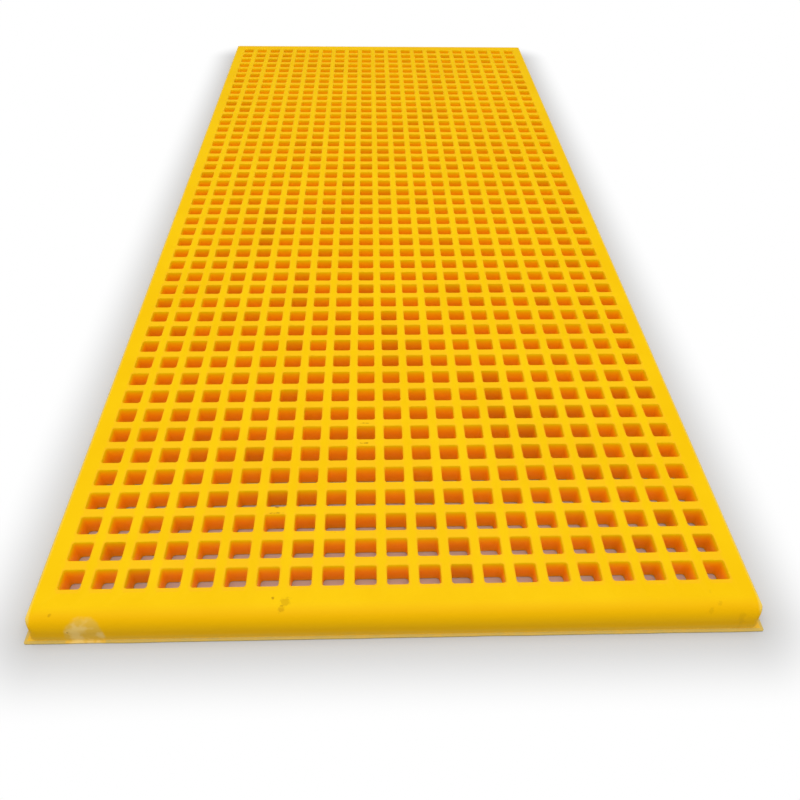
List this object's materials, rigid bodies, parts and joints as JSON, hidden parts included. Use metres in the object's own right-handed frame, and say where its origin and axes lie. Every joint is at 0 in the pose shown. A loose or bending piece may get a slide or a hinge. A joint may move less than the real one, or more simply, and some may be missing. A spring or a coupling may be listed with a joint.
{
  "type": "polyurethane screen panel",
  "caption": "Flat cast polyurethane screening panel with straight rows of square apertures that widen towards the back, rounded ends and a thin moulding lip around its foot.",
  "frame": {"origin": "under the middle of the panel, on its back face", "axes": "+X across the panel, +Y along its length, +Z out of the screening face"},
  "size_m": [1.008, 2.22, 0.04],
  "materials": {
    "polyurethane": "satin cast surface"
  },
  "bodies": {
    "root": {"screen_panel": "polyurethane"}
  },
  "joints": []
}
